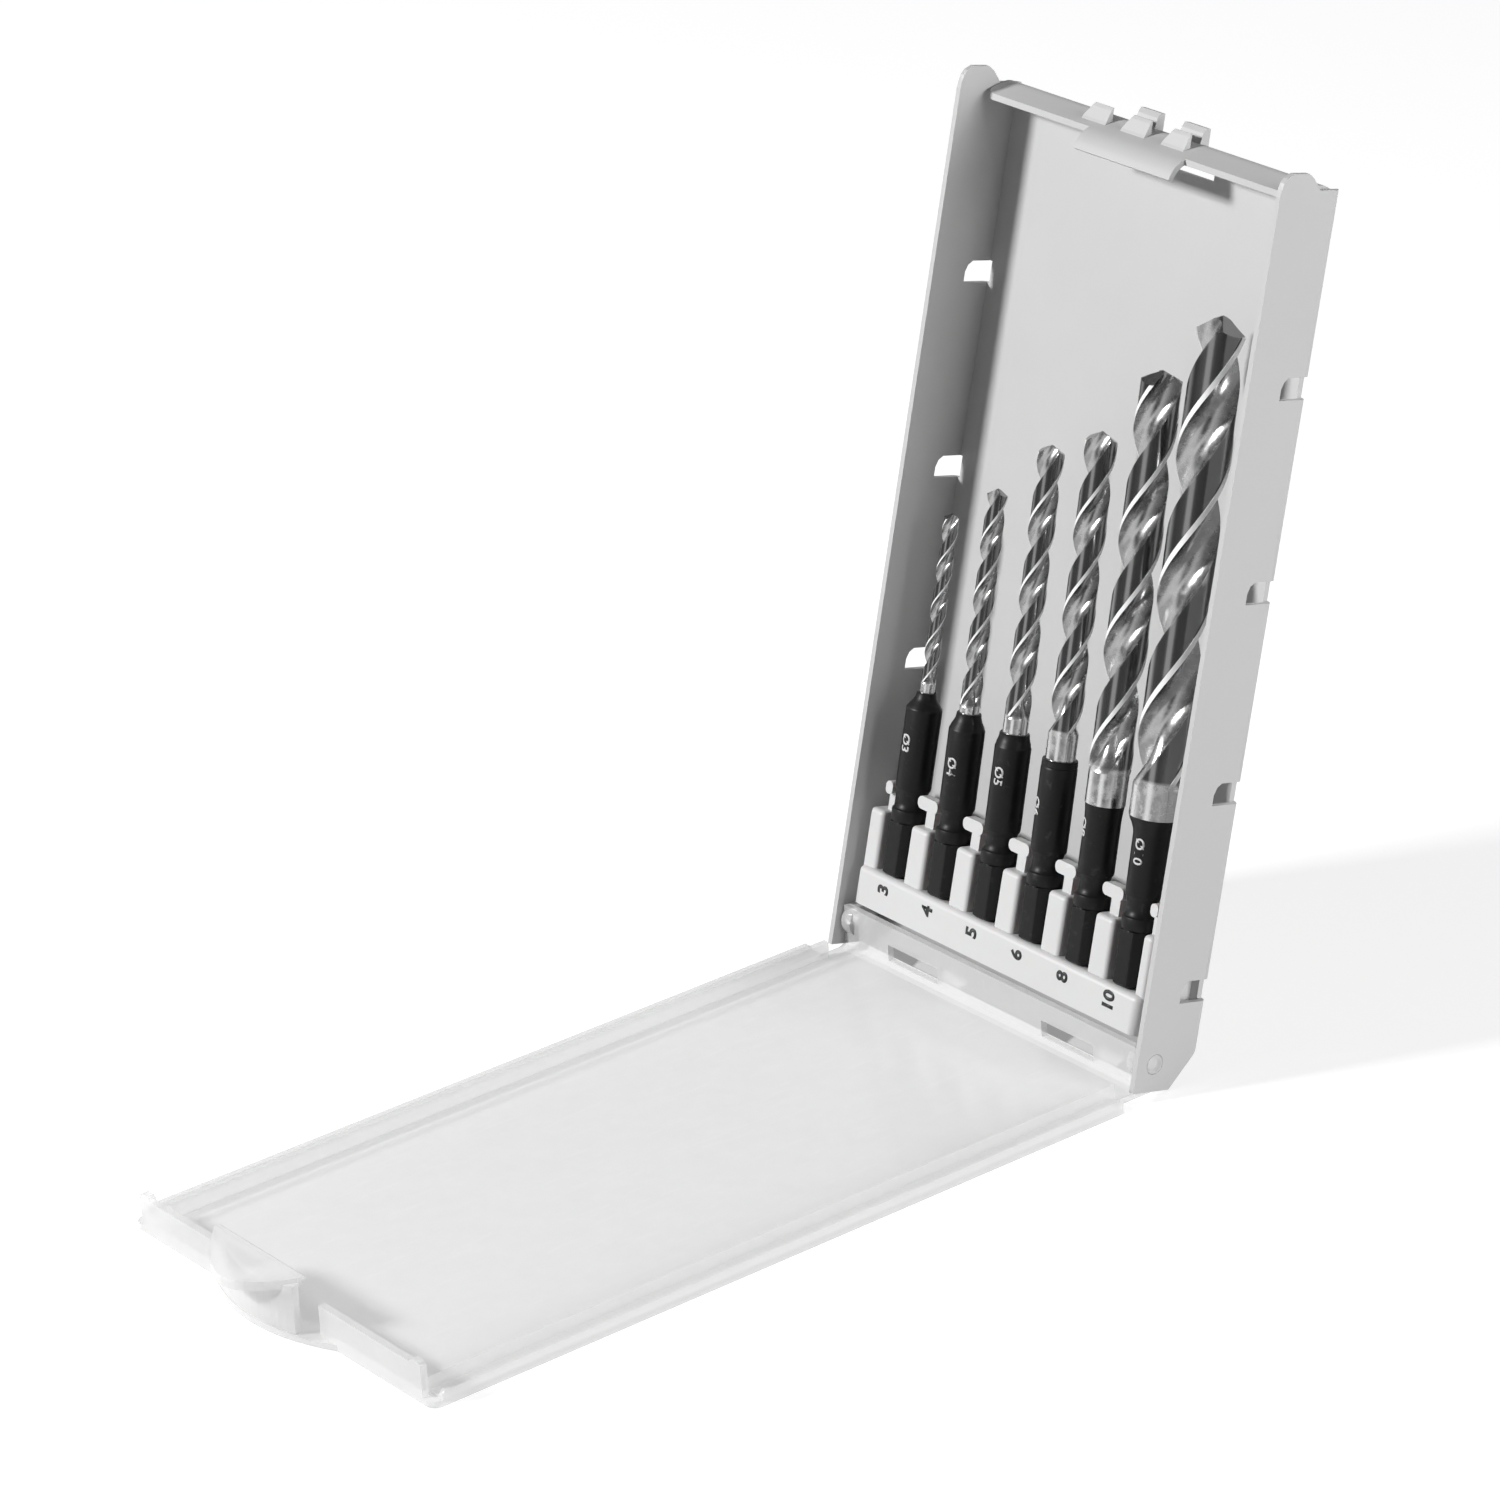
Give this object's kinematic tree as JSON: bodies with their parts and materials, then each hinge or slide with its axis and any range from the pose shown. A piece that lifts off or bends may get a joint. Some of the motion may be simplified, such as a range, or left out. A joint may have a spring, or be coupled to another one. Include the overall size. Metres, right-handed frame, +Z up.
{
  "type": "drill bit case",
  "caption": "Slim plastic case for twist drill bits with hexagonal shanks, standing open: leaning tray with a socketed bit holder and a clear hinged lid with a snap latch.",
  "frame": {"origin": "centre of the footprint of the open case, on the surface it stands on", "axes": "+X across the case towards the largest bit, +Y from the open lid towards the tray's back, +Z up"},
  "size_m": [0.091, 0.2234, 0.1678],
  "materials": {
    "case_plastic": "fine moulded texture, light grey",
    "holder_plastic": "satin light grey",
    "clear_plastic": "clear, slightly frosted",
    "black_oxide": "black oxide with light turning marks",
    "bright_steel": "ground and polished flutes"
  },
  "bodies": {
    "tray": {"tray": "case_plastic", "bit_holder": "holder_plastic"},
    "lid": {"lid": "clear_plastic"},
    "latch": {"latch_tab": "clear_plastic"},
    "bit_3": {"shank_3": "black_oxide", "drill_3": "bright_steel"},
    "bit_4": {"shank_4": "black_oxide", "drill_4": "bright_steel"},
    "bit_5": {"shank_5": "black_oxide", "drill_5": "bright_steel"},
    "bit_6": {"shank_6": "black_oxide", "drill_6": "bright_steel"},
    "bit_8": {"shank_8": "black_oxide", "drill_8": "bright_steel"},
    "bit_10": {"shank_10": "black_oxide", "drill_10": "bright_steel"}
  },
  "joints": [
    {"name": "lid_hinge", "type": "hinge", "parent": "tray", "child": "lid", "pos_m": [0, 0.06197, 0.00623], "axis": [1, 0, 0], "range_deg": [-104, 0]},
    {"name": "latch_flex", "type": "hinge", "parent": "lid", "child": "latch", "pos_m": [-0.0032, -0.1073, 0.0012], "axis": [1, 0, 0], "range_deg": [0, 7], "stiffness_Nm_per_rad": 0.3},
    {"name": "bit_3_lift", "type": "slide", "parent": "tray", "child": "bit_3", "axis": [-0.014, 0.2419, 0.9702], "range_m": [0, 0.022]},
    {"name": "bit_4_lift", "type": "slide", "parent": "tray", "child": "bit_4", "axis": [-0.0349, 0.2418, 0.9697], "range_m": [0, 0.022]},
    {"name": "bit_5_lift", "type": "slide", "parent": "tray", "child": "bit_5", "axis": [-0.0366, 0.2418, 0.9696], "range_m": [0, 0.022]},
    {"name": "bit_6_lift", "type": "slide", "parent": "tray", "child": "bit_6", "axis": [-0.0401, 0.2417, 0.9695], "range_m": [0, 0.022]},
    {"name": "bit_8_lift", "type": "slide", "parent": "tray", "child": "bit_8", "axis": [-0.0366, 0.2418, 0.9696], "range_m": [0, 0.022]},
    {"name": "bit_10_lift", "type": "slide", "parent": "tray", "child": "bit_10", "axis": [-0.0349, 0.2418, 0.9697], "range_m": [0, 0.022]}
  ]
}
